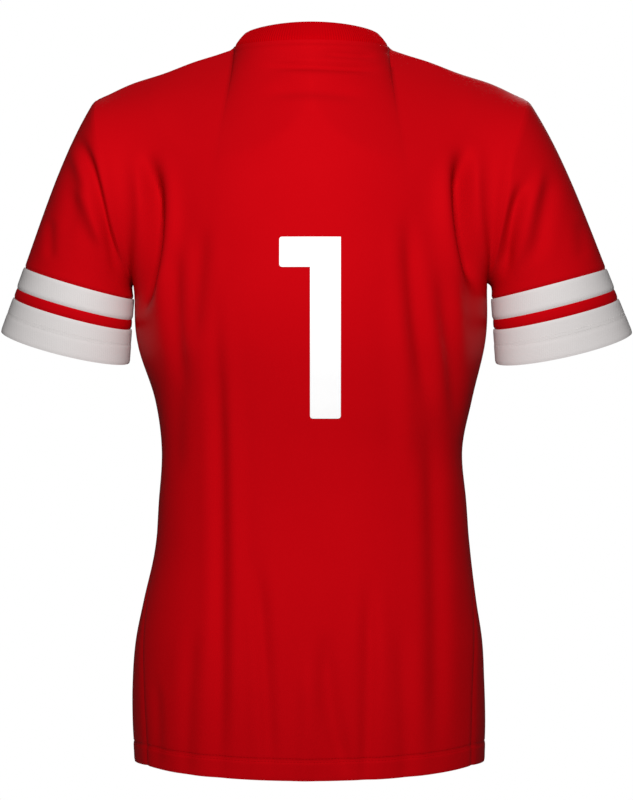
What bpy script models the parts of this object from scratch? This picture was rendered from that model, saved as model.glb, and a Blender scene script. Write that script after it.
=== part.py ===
"""Short-sleeved football jersey, filled out as if worn, with nobody in it.

The cloth is one continuous surface: two torso panels, two sleeves with their bands, and a rib collar.
It is worked out from body sections, an armhole, a neckline and two cuffs, dented by a short table of
folds, cut at its seams and thickened inwards. Lengths in this file are millimetres until a mesh is
made. X runs to the wearer's right, Y to the front, Z up, and the origin lies between the neck points.
"""
from typing import NamedTuple

import bpy
import numpy as np

MM = 0.001                 # metres in a millimetre

# Cloth
WALL = 1.4                 # knit wall
RIB_WALL = 1.6             # rib collar wall
SEAM_GAP = 0.3             # clear gap between two pieces at a seam
COLLAR_GAP = 0.9           # gap that the collar draws in by, as its seam turns a corner at each shoulder
FILM_LIFT = 0.45           # clear gap under the numeral
FILM_WALL = 1.0            # numeral film wall

RIM_ORDER = np.array([0.01, 0.1, 1.0])  # ranks two neighbouring points of a rim, by height first

# Mesh density, in cells
NECK_CELLS = 14            # along half the neckline, on each torso panel
SHOULDER_CELLS = 7         # along one shoulder seam
UPPER_ROWS = 12            # underarm to shoulder seam
LOWER_ROWS = 14            # underarm to hem
SLEEVE_ROWS = 7            # armhole to the first band

# Torso
UNDERARM_Z = -232.0
SQUARENESS = 2.35          # superellipse power of a body section
HEM_SIDE_Z = -697.0        # hem at the side seams
HEM_DROP = {"back": 8.0, "front": 2.0}

# Neckline: an oval, level over the back and dropping to the front
NECK_HALF_WIDTH = 76.0
NECK_BACK_Y = -62.0
NECK_FRONT_Y = 75.0
NECK_SIDE_Z = -1.0
NECK_BACK_RISE = 9.5
NECK_FRONT_DROP = 77.0
NECK_SHARE = 0.42          # share of a panel's top edge, from its middle, that is neckline
COLLAR_LEAN = 12.0         # how far the collar's top edge leans in
COLLAR_BACK_RISE = 19.0
COLLAR_SIDE_RISE = 14.5
COLLAR_FRONT_RISE = 15.5

# Shoulders and armholes
SHOULDER_SEAM_Y = 8.0      # the seam lies in front of the shoulder's ridge
ARMHOLE_TOP_Z = -51.5
ARMHOLE_BACK_DEPTH = 66.0
ARMHOLE_FRONT_DEPTH = 70.0

SLEEVE_PUSH = 22.0         # how far a sleeve leaves its seam outwards, past the straight way
SLEEVE_LIFT = 18.0         # and upwards

# Sleeve bands, measured up from the cuff's edge
BAND_TOP = 66.0
STRIPE_TOP = 45.0
STRIPE_LOW = 35.0

# Numeral "1", in the X-Z plane of the back
NUMERAL_TOP = -192.0
NUMERAL_BASE = -363.5
NUMERAL_FLAG_BASE = -220.5
NUMERAL_FLAG_X = -30.2
NUMERAL_STEM_LEFT = -1.2
NUMERAL_STEM_RIGHT = 27.8

# Finishes: linear colour, roughness, metallic
RED_KNIT = ("red_polyester_knit", (0.52, 0.001, 0.006), 0.55, 0.0)
RED_RIB = ("red_rib_knit", (0.46, 0.001, 0.006), 0.75, 0.0)
WHITE_KNIT = ("white_polyester_knit", (0.72, 0.70, 0.68), 0.6, 0.0)
WHITE_FILM = ("white_numeral_film", (0.92, 0.92, 0.92), 0.45, 0.0)


class Section(NamedTuple):
    """A level slice of the torso: centre and half width along X, depth to the back and front, and
    how far the side seams are swung towards the back, in degrees."""
    z: float
    centre: float
    half_width: float
    back: float
    front: float
    swing: float


SECTIONS = (
    Section(z=-725.0, centre=-2.0, half_width=171.0, back=117.0, front=118.0, swing=26.0),
    Section(z=-697.0, centre=-2.0, half_width=171.0, back=118.0, front=118.0, swing=26.0),
    Section(z=-660.0, centre=-2.5, half_width=172.5, back=119.0, front=118.0, swing=26.0),
    Section(z=-620.0, centre=-3.0, half_width=172.0, back=118.0, front=117.0, swing=24.0),
    Section(z=-581.0, centre=-2.5, half_width=169.5, back=115.0, front=115.0, swing=20.0),
    Section(z=-542.0, centre=-1.5, half_width=162.7, back=110.0, front=112.0, swing=13.0),
    Section(z=-493.0, centre=1.0, half_width=154.3, back=102.0, front=107.0, swing=5.0),
    Section(z=-444.0, centre=1.0, half_width=150.4, back=97.0, front=104.0, swing=0.0),
    Section(z=-395.0, centre=0.5, half_width=147.0, back=98.0, front=105.0, swing=0.0),
    Section(z=-346.0, centre=2.0, half_width=154.3, back=105.0, front=110.0, swing=0.0),
    Section(z=-297.0, centre=0.0, half_width=165.1, back=113.0, front=118.0, swing=0.0),
    Section(z=-232.0, centre=-0.75, half_width=170.0, back=119.0, front=124.0, swing=0.0),
)


class Shoulder(NamedTuple):
    """A point of the shoulder seam: its share of the way from neck to sleeve, and its height."""
    share: float
    z: float


SHOULDERS = (
    Shoulder(share=0.0, z=-1.0),
    Shoulder(share=0.12, z=-2.5),
    Shoulder(share=0.28, z=-13.0),
    Shoulder(share=0.50, z=-24.0),
    Shoulder(share=0.75, z=-35.0),
    Shoulder(share=1.0, z=-51.5),
)


class Armhole(NamedTuple):
    """A level of the armhole seam: its share of the way up, and its distance from the middle of the
    garment, at the left and right back and at the front."""
    share: float
    left_back: float
    right_back: float
    front: float


ARMHOLES = (
    Armhole(share=0.0, left_back=171.5, right_back=168.5, front=170.0),
    Armhole(share=0.12, left_back=181.0, right_back=174.0, front=175.0),
    Armhole(share=0.28, left_back=190.0, right_back=180.0, front=180.0),
    Armhole(share=0.46, left_back=196.5, right_back=185.5, front=186.0),
    Armhole(share=0.68, left_back=204.0, right_back=193.0, front=192.0),
    Armhole(share=0.86, left_back=210.0, right_back=204.0, front=205.0),
    Armhole(share=1.0, left_back=212.5, right_back=212.5, front=212.5),
)


class Opening(NamedTuple):
    """A ring across a sleeve: its outer and inner ends in X and Z, its half depth, and how much lower
    its back and front edges hang."""
    outer_x: float
    outer_z: float
    inner_x: float
    inner_z: float
    half_depth: float
    back_drop: float
    front_drop: float


LEFT_BAND = Opening(outer_x=-281.0, outer_z=-216.0, inner_x=-174.5, inner_z=-247.0,
                    half_depth=52.0, back_drop=4.0, front_drop=0.0)
LEFT_CUFF = Opening(outer_x=-303.5, outer_z=-278.5, inner_x=-179.0, inner_z=-309.5,
                    half_depth=47.0, back_drop=9.0, front_drop=2.0)
RIGHT_BAND = Opening(outer_x=288.5, outer_z=-217.5, inner_x=176.5, inner_z=-247.0,
                     half_depth=53.0, back_drop=2.0, front_drop=0.0)
RIGHT_CUFF = Opening(outer_x=313.5, outer_z=-279.5, inner_x=181.0, inner_z=-309.5,
                     half_depth=48.0, back_drop=10.0, front_drop=2.0)


class Fold(NamedTuple):
    """A trough pressed into the cloth, or a ridge where its depth is negative. It runs from one point
    of the X-Z plane to another, bowed to its left by bow."""
    x0: float
    z0: float
    x1: float
    z1: float
    bow: float
    width: float
    depth: float


BACK_FOLDS = (
    Fold(x0=-153.0, z0=-122.0, x1=-166.0, z1=-262.0, bow=10.0, width=11.0, depth=7.0),
    Fold(x0=143.0, z0=-106.0, x1=160.0, z1=-236.0, bow=-8.0, width=11.0, depth=7.0),
    Fold(x0=-104.0, z0=-180.0, x1=-113.0, z1=-292.0, bow=0.0, width=11.0, depth=3.0),
    Fold(x0=-132.0, z0=-196.0, x1=-126.0, z1=-330.0, bow=0.0, width=9.0, depth=3.0),
    Fold(x0=-92.0, z0=-330.0, x1=-88.0, z1=-720.0, bow=3.0, width=10.0, depth=4.0),
    Fold(x0=-52.0, z0=-500.0, x1=-39.0, z1=-700.0, bow=2.0, width=9.0, depth=3.0),
    Fold(x0=92.0, z0=-172.0, x1=113.0, z1=-352.0, bow=-3.0, width=11.0, depth=4.5),
    Fold(x0=113.0, z0=-360.0, x1=119.0, z1=-690.0, bow=3.0, width=11.0, depth=3.5),
    Fold(x0=124.0, z0=-216.0, x1=140.0, z1=-372.0, bow=0.0, width=9.0, depth=3.0),
    Fold(x0=10.0, z0=-570.0, x1=37.0, z1=-710.0, bow=-4.0, width=10.0, depth=5.0),
    Fold(x0=54.0, z0=-520.0, x1=50.0, z1=-720.0, bow=2.0, width=10.0, depth=3.0),
)

FRONT_FOLDS = (
    Fold(x0=-140.0, z0=-120.0, x1=-120.0, z1=-290.0, bow=-8.0, width=12.0, depth=7.0),
    Fold(x0=142.0, z0=-118.0, x1=118.0, z1=-300.0, bow=9.0, width=12.0, depth=7.0),
    Fold(x0=-92.0, z0=-300.0, x1=-104.0, z1=-680.0, bow=4.0, width=12.0, depth=4.0),
    Fold(x0=98.0, z0=-330.0, x1=88.0, z1=-720.0, bow=3.0, width=11.0, depth=4.0),
    Fold(x0=-30.0, z0=-540.0, x1=-44.0, z1=-715.0, bow=2.0, width=10.0, depth=3.5),
    Fold(x0=34.0, z0=-480.0, x1=45.0, z1=-700.0, bow=-3.0, width=12.0, depth=3.0),
)

LEFT_SLEEVE_FOLDS = (
    Fold(x0=-226.0, z0=-92.0, x1=-187.0, z1=-224.0, bow=6.0, width=8.0, depth=6.0),
    Fold(x0=-224.0, z0=-140.0, x1=-203.0, z1=-196.0, bow=0.0, width=8.0, depth=-2.0),
    Fold(x0=-253.0, z0=-170.0, x1=-252.0, z1=-212.0, bow=0.0, width=6.0, depth=1.5),
)

RIGHT_SLEEVE_FOLDS = (
    Fold(x0=203.0, z0=-138.0, x1=186.0, z1=-224.0, bow=-3.0, width=8.0, depth=7.0),
    Fold(x0=232.0, z0=-130.0, x1=215.0, z1=-214.0, bow=0.0, width=9.0, depth=2.0),
)


def smooth(rows, along, name, at):
    """Read one column of a table at the places given, on a smooth curve through its rows."""
    places = np.array([getattr(row, along) for row in rows])
    values = np.array([getattr(row, name) for row in rows])
    slopes = np.gradient(values, places)
    at = np.asarray(at, dtype=float)
    low = np.clip(np.searchsorted(places, at) - 1, 0, len(rows) - 2)
    span = places[low + 1] - places[low]
    t = np.clip((at - places[low]) / span, 0.0, 1.0)
    return hermite(values[low], values[low + 1], slopes[low] * span, slopes[low + 1] * span, t)


def hermite(start, end, start_pull, end_pull, t):
    """Cubic curve from start to end that leaves and arrives along the two pulls."""
    return ((2 * t**3 - 3 * t**2 + 1) * start + (t**3 - 2 * t**2 + t) * start_pull
            + (3 * t**2 - 2 * t**3) * end + (t**3 - t**2) * end_pull)


def ease(value, low, high):
    """Rise smoothly from 0 at low to 1 at high."""
    t = np.clip((value - low) / (high - low), 0.0, 1.0)
    return t * t * (3 - 2 * t)


def unit(vectors):
    """Vectors of the same directions and of length 1."""
    length = np.linalg.norm(vectors, axis=-1, keepdims=True)
    return vectors / np.maximum(length, 1e-9)


def neck_point(turn, level):
    """Point of the neckline (level 0) or the collar's top edge (level 1). Turn is in degrees from the
    middle of the back, to the wearer's right, and 180 is the middle of the front."""
    angle = np.radians(turn)
    back = np.maximum(np.cos(angle), 0.0)
    front = np.maximum(-np.cos(angle), 0.0)
    x = (NECK_HALF_WIDTH - COLLAR_LEAN * level) * np.sin(angle)
    y = (NECK_BACK_Y + COLLAR_LEAN * level) * back + (NECK_FRONT_Y - COLLAR_LEAN * level) * front
    rise = (COLLAR_SIDE_RISE + (COLLAR_BACK_RISE - COLLAR_SIDE_RISE) * back**2
            + (COLLAR_FRONT_RISE - COLLAR_SIDE_RISE) * front**2)
    z = NECK_SIDE_Z + NECK_BACK_RISE * back**2 - NECK_FRONT_DROP * front**1.25 + rise * level
    return np.stack([x, y, z], axis=-1)


def armhole_point(hand, turn):
    """Point of an armhole seam. Hand is -1 for the left and 1 for the right. Turn is in degrees from
    the shoulder, 90 at the middle of the back and -90 at the middle of the front."""
    angle = np.radians(turn)
    share = (1.0 + np.cos(angle)) / 2.0
    behind = smooth(ARMHOLES, "share", "left_back" if hand < 0 else "right_back", share)
    ahead = smooth(ARMHOLES, "share", "front", share)
    mix = ease(np.sin(angle), -0.35, 0.35)
    x = hand * (behind * mix + ahead * (1.0 - mix))
    depth = np.where(np.sin(angle) > 0, ARMHOLE_BACK_DEPTH, ARMHOLE_FRONT_DEPTH)
    y = SHOULDER_SEAM_Y * share - depth * np.sin(angle)
    z = UNDERARM_Z + (ARMHOLE_TOP_Z - UNDERARM_Z) * share
    return np.stack([x, y, z], axis=-1)


def shoulder_point(hand, share):
    """Point of a shoulder seam, from the neck at share 0 to the armhole at share 1."""
    neck = neck_point(90.0, 0.0)
    end = armhole_point(1, 0.0)
    x = hand * (neck[0] + (end[0] - neck[0]) * share)
    y = neck[1] + (end[1] - neck[1]) * ease(share, 0.0, 0.7)
    return np.stack([x, y, smooth(SHOULDERS, "share", "z", share)], axis=-1)


def hem_z(side, across):
    """Height of the hem at a place across a panel, from -1 at one side seam to 1 at the other."""
    return HEM_SIDE_Z - HEM_DROP[side] * (1.0 - across**2)


def section_point(side, across, z):
    """Point of the lower torso at a height z. The places across are evenly spaced along the cloth."""
    swing = np.radians(smooth(SECTIONS, "z", "swing", z))
    first = swing if side == "back" else -swing
    angles = np.linspace(first, np.pi - first, 241)
    power = 2.0 / SQUARENESS
    x = np.sign(np.cos(angles)) * np.abs(np.cos(angles)) ** power
    y = np.sign(np.sin(angles)) * np.abs(np.sin(angles)) ** power
    x = smooth(SECTIONS, "z", "centre", z) + smooth(SECTIONS, "z", "half_width", z) * x
    behind = y * smooth(SECTIONS, "z", side, z)
    other = "front" if side == "back" else "back"
    behind = np.where(y < 0, y * smooth(SECTIONS, "z", other, z), behind)
    y = -behind if side == "back" else behind
    run = np.concatenate([[0.0], np.cumsum(np.hypot(np.diff(x), np.diff(y)))])
    at = run[-1] * (1.0 - across) / 2.0
    return np.stack([np.interp(at, run, x), np.interp(at, run, y), np.full_like(at, z)], axis=-1)


def top_edge(side, across):
    """Top edge of a torso panel: shoulder seam, neckline, shoulder seam."""
    points = []
    for place in across:
        reach = abs(place)
        hand = 1 if place > 0 else -1
        if reach <= NECK_SHARE:
            turn = 90.0 * place / NECK_SHARE
            points.append(neck_point(turn if side == "back" else 180.0 - turn, 0.0))
        else:
            points.append(shoulder_point(hand, (reach - NECK_SHARE) / (1.0 - NECK_SHARE)))
    return np.array(points)


def torso_sheet(side, neck_cells, shoulder_cells, upper_rows, lower_rows):
    """Grid of points of one torso panel's outer face, a row per level from the hem up."""
    shoulder = np.linspace(NECK_SHARE, 1.0, shoulder_cells + 1)
    neck = np.linspace(-NECK_SHARE, NECK_SHARE, neck_cells + 1)
    across = np.concatenate([-shoulder[:0:-1], neck, shoulder[1:]])
    rows = []
    for step in np.linspace(0.0, 1.0, lower_rows + 1)[:-1]:
        rows.append(lower_row(side, across, step))
    base = section_point(side, across, UNDERARM_Z)
    below = section_point(side, across, UNDERARM_Z - 12.0)
    top = top_edge(side, across)
    reach = np.abs(across)[:, None]
    out = -1.0 if side == "back" else 1.0
    flat = ease(reach, 0.05, 0.5)
    if side == "back":
        rise = (base - below) / 12.0 * 300.0
        neck_pull = np.array([0.0, 90.0, 120.0])
        shoulder_pull = np.array([0.0, 175.0, -6.0])
    else:
        rise = (base - below) / 12.0 * 230.0
        neck_pull = np.array([0.0, -95.0, 95.0])
        shoulder_pull = np.array([0.0, -160.0, 24.0])
    arrive = neck_pull * (1.0 - flat) + shoulder_pull * flat
    hands = {-1: 0, 1: -1}
    for step in np.linspace(0.0, 1.0, upper_rows + 1):
        row = hermite(base, top, rise, arrive, step)
        for hand, column in hands.items():
            seam = armhole_point(hand, -out * 180.0 * (1.0 - step))
            share = np.where(np.sign(across) == hand, np.abs(across), 0.0)[:, None]
            row = row + share**4 * (seam - row[column])
        rows.append(row)
    return np.array(rows), across


def lower_row(side, across, step):
    """Row of the lower torso, step 0 at the hem and 1 at the underarm."""
    columns = []
    for place in across:
        z = hem_z(side, place) + (UNDERARM_Z - hem_z(side, place)) * step
        columns.append(section_point(side, np.array([place]), z)[0])
    return np.array(columns)


def opening_point(opening, turn):
    """Point of a ring across a sleeve, with turns as on the armhole."""
    angle = np.radians(turn)
    x = (opening.outer_x + opening.inner_x) / 2 + (opening.outer_x - opening.inner_x) / 2 * np.cos(angle)
    z = (opening.outer_z + opening.inner_z) / 2 + (opening.outer_z - opening.inner_z) / 2 * np.cos(angle)
    z = z - opening.back_drop * np.maximum(np.sin(angle), 0.0)
    z = z - opening.front_drop * np.maximum(-np.sin(angle), 0.0)
    return np.stack([x, -opening.half_depth * np.sin(angle), z], axis=-1)


def sleeve_turns(hand, cells):
    """Turns round a sleeve, ordered so that its sheet faces out."""
    return hand * np.arange(cells) * 360.0 / cells


def sleeve_sheet(hand, band, cuff, rows, cells):
    """Grid of points of a red sleeve, a row per ring from the armhole to its first band."""
    turns = sleeve_turns(hand, cells)
    start = armhole_point(hand, turns)
    end = opening_point(band, turns)
    chord = end - start
    leave = chord + np.array([hand * SLEEVE_PUSH, 0.0, SLEEVE_LIFT])
    arrive = unit(opening_point(cuff, turns) - end) * np.linalg.norm(chord, axis=-1, keepdims=True)
    return np.array([hermite(start, end, leave, arrive, step) for step in np.linspace(0.0, 1.0, rows + 1)])


def band_sheet(hand, band, cuff, heights, cells):
    """Grid of points of a sleeve band between heights measured up from the cuff's edge."""
    turns = sleeve_turns(hand, cells)
    low = opening_point(cuff, turns)
    high = opening_point(band, turns)
    return np.array([low + (high - low) * height / BAND_TOP for height in heights])


def collar_sheet(rows, cells):
    """Grid of points of the collar, a row per ring from the neckline up."""
    turns = np.arange(cells) * 360.0 / cells
    return np.array([neck_point(turns, level) for level in np.linspace(0.0, 1.0, rows + 1)])


def sheet_normals(grid, closed):
    """Outward directions over a sheet, from its own points."""
    if closed:
        across = np.roll(grid, -1, axis=1) - np.roll(grid, 1, axis=1)
    else:
        across = np.gradient(grid, axis=1)
    return unit(np.cross(across, np.gradient(grid, axis=0)))


def fold_depth(folds, x, z):
    """How deep the folds press the cloth in at places of the X-Z plane."""
    depth = np.zeros_like(x)
    for fold in folds:
        run = np.hypot(fold.x1 - fold.x0, fold.z1 - fold.z0)
        along_x = (fold.x1 - fold.x0) / run
        along_z = (fold.z1 - fold.z0) / run
        along = ((x - fold.x0) * along_x + (z - fold.z0) * along_z) / run
        aside = (z - fold.z0) * along_x - (x - fold.x0) * along_z
        aside = aside - fold.bow * 4.0 * np.clip(along, 0.0, 1.0) * (1.0 - np.clip(along, 0.0, 1.0))
        fade = ease(along, -0.08, 0.2) * (1.0 - ease(along, 0.8, 1.08))
        depth = depth + fold.depth * fade * np.exp(-((aside / fold.width) ** 2))
    return depth


def torso_folded(side, sheet, across, folds):
    """A torso sheet with its folds pressed in, flat at the side seams and along the top."""
    rows = np.arange(len(sheet))[:, None] / (len(sheet) - 1)
    hold = (1.0 - np.abs(across)[None, :] ** 6) * (1.0 - ease(rows, 0.93, 1.0))
    depth = fold_depth(folds, sheet[..., 0], sheet[..., 2]) * hold
    normals = sheet_normals(sheet, False) if side == "back" else -sheet_normals(sheet, False)
    return sheet - normals * depth[..., None]


def sleeve_folded(hand, sheet, folds):
    """A sleeve sheet with the folds of its back pressed in, free of both seams."""
    turns = np.radians(sleeve_turns(hand, sheet.shape[1])) * hand
    rows = np.arange(len(sheet))[:, None] / (len(sheet) - 1)
    hold = ease(np.sin(turns), 0.0, 0.6)[None, :] * ease(rows, 0.0, 0.12) * (1.0 - ease(rows, 0.85, 1.0))
    depth = fold_depth(folds, sheet[..., 0], sheet[..., 2]) * hold
    return sheet - sheet_normals(sheet, True) * depth[..., None]


def grid_quads(rows, columns, closed):
    """Corner numbers of the quads of a grid, a closed one joined round."""
    quads = []
    for row in range(rows - 1):
        for column in range(columns if closed else columns - 1):
            right = (column + 1) % columns
            quads.append((row * columns + column, row * columns + right,
                          (row + 1) * columns + right, (row + 1) * columns + column))
    return quads


def shared_normals(sheets):
    """Outward directions of every sheet's points, averaged over all the sheets that meet there, so
    that two walls meet at a seam like a mitre."""
    total = {}
    for grid, closed in sheets:
        points = grid.reshape(-1, 3)
        for quad in grid_quads(grid.shape[0], grid.shape[1], closed):
            corners = points[list(quad)]
            face = np.cross(corners[2] - corners[0], corners[3] - corners[1])
            for corner in corners:
                total[spot(corner)] = total.get(spot(corner), 0.0) + face
    return [unit(np.array([total[spot(point)] for point in grid.reshape(-1, 3)])).reshape(grid.shape)
            for grid, closed in sheets]


def spot(point):
    """A key that points in the same place share. The odd shift keeps round sizes off its steps."""
    return tuple(np.floor(point * 100.0 + 0.317))


def pulled_in(grid, closed, gap):
    """A sheet with its edges drawn in by half a gap, square to each edge."""
    result = grid.copy()
    sides = [(np.s_[0], np.s_[1]), (np.s_[-1], np.s_[-2])]
    if not closed:
        sides += [(np.s_[:, 0], np.s_[:, 1]), (np.s_[:, -1], np.s_[:, -2])]
    for edge, inside in sides:
        seam = grid[edge]
        along = np.roll(seam, -1, axis=0) - np.roll(seam, 1, axis=0) if closed else np.gradient(seam, axis=0)
        along = unit(along)
        inward = grid[inside] - seam
        inward = unit(inward - along * (inward * along).sum(axis=-1, keepdims=True))
        result[edge] = result[edge] + inward * gap / 2.0
    return result


def slab(outer, inner, quads):
    """Points and faces of a closed wall between an outer and an inner copy of some quads. Each rim
    quad is split from its lower outer corner, so that the two rims of a seam have the same split."""
    count = len(outer)
    halves = [half for a, b, c, d in quads for half in ((a, b, c), (a, c, d))]
    faces = halves + [tuple(count + corner for corner in reversed(half)) for half in halves]
    edges = {(quad[i], quad[(i + 1) % 4]) for quad in quads for i in range(4)}
    for start, end in sorted(edges):
        if (end, start) in edges:
            continue
        if outer[start] @ RIM_ORDER < outer[end] @ RIM_ORDER:
            faces += [(end, start, count + end), (start, count + start, count + end)]
        else:
            faces += [(end, start, count + start), (end, count + start, count + end)]
    return np.concatenate([outer, inner]), faces


def add_object(name, points, faces, finish):
    """A smooth-shaded object of its own material."""
    mesh = bpy.data.meshes.new(name)
    mesh.from_pydata([tuple(point * MM) for point in points], [], faces)
    mesh.update()
    mesh.shade_smooth()
    mesh.set_sharp_from_angle(angle=np.radians(50.0))
    mesh.materials.append(material(name, finish))
    obj = bpy.data.objects.new(name, mesh)
    bpy.context.scene.collection.objects.link(obj)
    return obj


def material(node, finish):
    """A Principled material of the finish's colour, roughness and metallic value."""
    name, colour, roughness, metallic = finish
    made = bpy.data.materials.new(f"{node}.{name}")
    made.use_nodes = True
    shader = made.node_tree.nodes["Principled BSDF"]
    shader.inputs["Base Color"].default_value = (*colour, 1.0)
    shader.inputs["Roughness"].default_value = roughness
    shader.inputs["Metallic"].default_value = metallic
    return made


def add_cloth(name, grid, normals, closed, wall, finish):
    """A sheet of cloth as a wall of its own thickness, drawn in at its seams."""
    gap = COLLAR_GAP if name == "collar" else SEAM_GAP
    outer = pulled_in(grid, closed, gap).reshape(-1, 3)
    inner = outer - normals.reshape(-1, 3) * wall
    quads = grid_quads(grid.shape[0], grid.shape[1], closed)
    points, faces = slab(outer, inner, quads)
    return add_object(name, points, faces, finish)


def surface_point(grid, normals, x, z):
    """Point and outward direction of a sheet at a place of the X-Z plane."""
    flat = grid[..., [0, 2]]
    row, column = np.unravel_index(np.argmin(((flat - (x, z)) ** 2).sum(axis=-1)), flat.shape[:2])
    place = np.array([float(row), float(column)])
    limit = np.array(flat.shape[:2]) - 1.001
    for _ in range(12):
        low = np.clip(place, 0.0, limit).astype(int)
        corner = flat[low[0]:low[0] + 2, low[1]:low[1] + 2]
        part = place - low
        miss = np.array([x, z]) - blend(corner, part)
        down = blend(corner, (1.0, part[1])) - blend(corner, (0.0, part[1]))
        right = blend(corner, (part[0], 1.0)) - blend(corner, (part[0], 0.0))
        place = np.clip(place + np.linalg.solve(np.stack([down, right], axis=1), miss), 0.0, limit)
    low = place.astype(int)
    part = place - low
    window = np.s_[low[0]:low[0] + 2, low[1]:low[1] + 2]
    return blend(grid[window], part), unit(blend(normals[window], part))


def blend(corners, part):
    """Value inside a quad of a grid, from the values at its four corners."""
    top = corners[0, 0] * (1.0 - part[1]) + corners[0, 1] * part[1]
    low = corners[1, 0] * (1.0 - part[1]) + corners[1, 1] * part[1]
    return top * (1.0 - part[0]) + low * part[0]


def add_numeral(grid, normals):
    """The numeral's film: a flag and a stem that follow the back panel a little above it."""
    flag = np.linspace(NUMERAL_FLAG_X, NUMERAL_STEM_LEFT, 3)
    stem = np.linspace(NUMERAL_STEM_LEFT, NUMERAL_STEM_RIGHT, 4)
    columns = np.concatenate([flag[:-1], stem])
    head = np.linspace(NUMERAL_TOP, NUMERAL_FLAG_BASE, 3)
    leg = np.linspace(NUMERAL_FLAG_BASE, NUMERAL_BASE, 12)
    levels = np.concatenate([head[:-1], leg])
    quads = []
    used = {}
    for row in range(len(levels) - 1):
        first = 0 if row < len(head) - 1 else len(flag) - 1
        for column in range(first, len(columns) - 1):
            corners = ((row + 1, column), (row + 1, column + 1), (row, column + 1), (row, column))
            quads.append(tuple(used.setdefault(corner, len(used)) for corner in corners))
    places = [surface_point(grid, normals, columns[column], levels[row]) for row, column in used]
    points = np.array([point for point, out in places])
    outward = np.array([out for point, out in places])
    outer = points + outward * (FILM_LIFT + FILM_WALL)
    inner = points + outward * FILM_LIFT
    add_object("number_one", *slab(outer, inner, quads), WHITE_FILM)


def garment_sheets():
    """Every piece of cloth as name, sheet, whether it closes round, wall and finish."""
    cells = 2 * UPPER_ROWS
    pieces = []
    for side, folds in (("back", BACK_FOLDS), ("front", FRONT_FOLDS)):
        sheet, across = torso_sheet(side, NECK_CELLS, SHOULDER_CELLS, UPPER_ROWS, LOWER_ROWS)
        sheet = torso_folded(side, sheet, across, folds)
        if side == "front":
            sheet = sheet[:, ::-1]
        pieces.append((f"{side}_panel", sheet, False, WALL, RED_KNIT))
    for side, hand, band, cuff, folds in (("left", -1, LEFT_BAND, LEFT_CUFF, LEFT_SLEEVE_FOLDS),
                                          ("right", 1, RIGHT_BAND, RIGHT_CUFF, RIGHT_SLEEVE_FOLDS)):
        sheet = sleeve_sheet(hand, band, cuff, SLEEVE_ROWS, cells)
        pieces.append((f"sleeve_{side}", sleeve_folded(hand, sheet, folds), True, WALL, RED_KNIT))
        for name, heights, finish in (("band", (BAND_TOP, STRIPE_TOP), WHITE_KNIT),
                                      ("stripe", (STRIPE_TOP, STRIPE_LOW), RED_KNIT),
                                      ("cuff", (STRIPE_LOW, STRIPE_LOW / 2.0, 0.0), WHITE_KNIT)):
            sheet = band_sheet(hand, band, cuff, heights, cells)
            pieces.append((f"{name}_{side}", sheet, True, WALL, finish))
    pieces.append(("collar", collar_sheet(2, 2 * NECK_CELLS), True, RIB_WALL, RED_RIB))
    return pieces


def main():
    """Clear the scene and build the jersey."""
    for obj in list(bpy.data.objects):
        bpy.data.objects.remove(obj, do_unlink=True)
    pieces = garment_sheets()
    normals = shared_normals([(sheet, closed) for name, sheet, closed, wall, finish in pieces])
    for (name, sheet, closed, wall, finish), outward in zip(pieces, normals):
        add_cloth(name, sheet, outward, closed, wall, finish)
    add_numeral(pieces[0][1], normals[0])


if __name__ == "__main__":
    main()
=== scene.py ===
"""Looks of a short-sleeved football jersey, filled out as if worn: knit panels, banded sleeves, rib
collar, applied numeral and twin-needle stitching, with the studio it stands in.

Lengths are millimetres in the pattern and metres in the meshes. X runs to the wearer's right, Y to the
front and Z up.
"""
from __future__ import annotations

import logging
from dataclasses import dataclass, field
from enum import Enum
from typing import Any, Sequence

import bpy
import numpy as np
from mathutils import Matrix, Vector


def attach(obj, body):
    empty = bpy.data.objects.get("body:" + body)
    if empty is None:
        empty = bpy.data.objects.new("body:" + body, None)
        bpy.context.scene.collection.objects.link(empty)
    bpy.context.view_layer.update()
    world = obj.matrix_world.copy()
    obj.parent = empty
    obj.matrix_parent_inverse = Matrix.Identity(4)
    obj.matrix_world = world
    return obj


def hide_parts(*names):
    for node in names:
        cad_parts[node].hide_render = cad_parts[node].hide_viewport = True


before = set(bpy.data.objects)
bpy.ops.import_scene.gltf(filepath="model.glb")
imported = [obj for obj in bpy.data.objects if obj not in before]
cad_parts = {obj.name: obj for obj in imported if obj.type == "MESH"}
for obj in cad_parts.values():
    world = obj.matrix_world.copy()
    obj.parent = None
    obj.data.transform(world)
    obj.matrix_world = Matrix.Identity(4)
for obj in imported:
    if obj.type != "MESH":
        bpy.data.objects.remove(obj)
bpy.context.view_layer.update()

MM = 0.001
LOG = logging.getLogger("jersey")


class Side(Enum):
    """The two halves of the body, front and back."""

    BACK = "back"
    FRONT = "front"


class Hand(Enum):
    """The wearer's left and right, with the sign of their X."""

    LEFT = -1
    RIGHT = 1

    @property
    def word(self) -> str:
        """The hand's name in the names of pieces."""
        return self.name.lower()


class Weave(Enum):
    """How the surface of a cloth is made."""

    INTERLOCK = "interlock"
    RIB = "rib"
    FILM = "film"


@dataclass(frozen=True)
class Section:
    """A level slice of the torso: centre and half width along X, depth to the back and front, and
    how far the side seams are swung towards the back, in degrees."""

    z: float
    centre: float
    half_width: float
    back: float
    front: float
    swing: float


@dataclass(frozen=True)
class Shoulder:
    """A point of the shoulder seam: its share of the way from neck to sleeve, and its height."""

    share: float
    z: float


@dataclass(frozen=True)
class Armhole:
    """A level of the armhole seam: its share of the way up, and its distance from the middle."""

    share: float
    left_back: float
    right_back: float
    front: float


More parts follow.
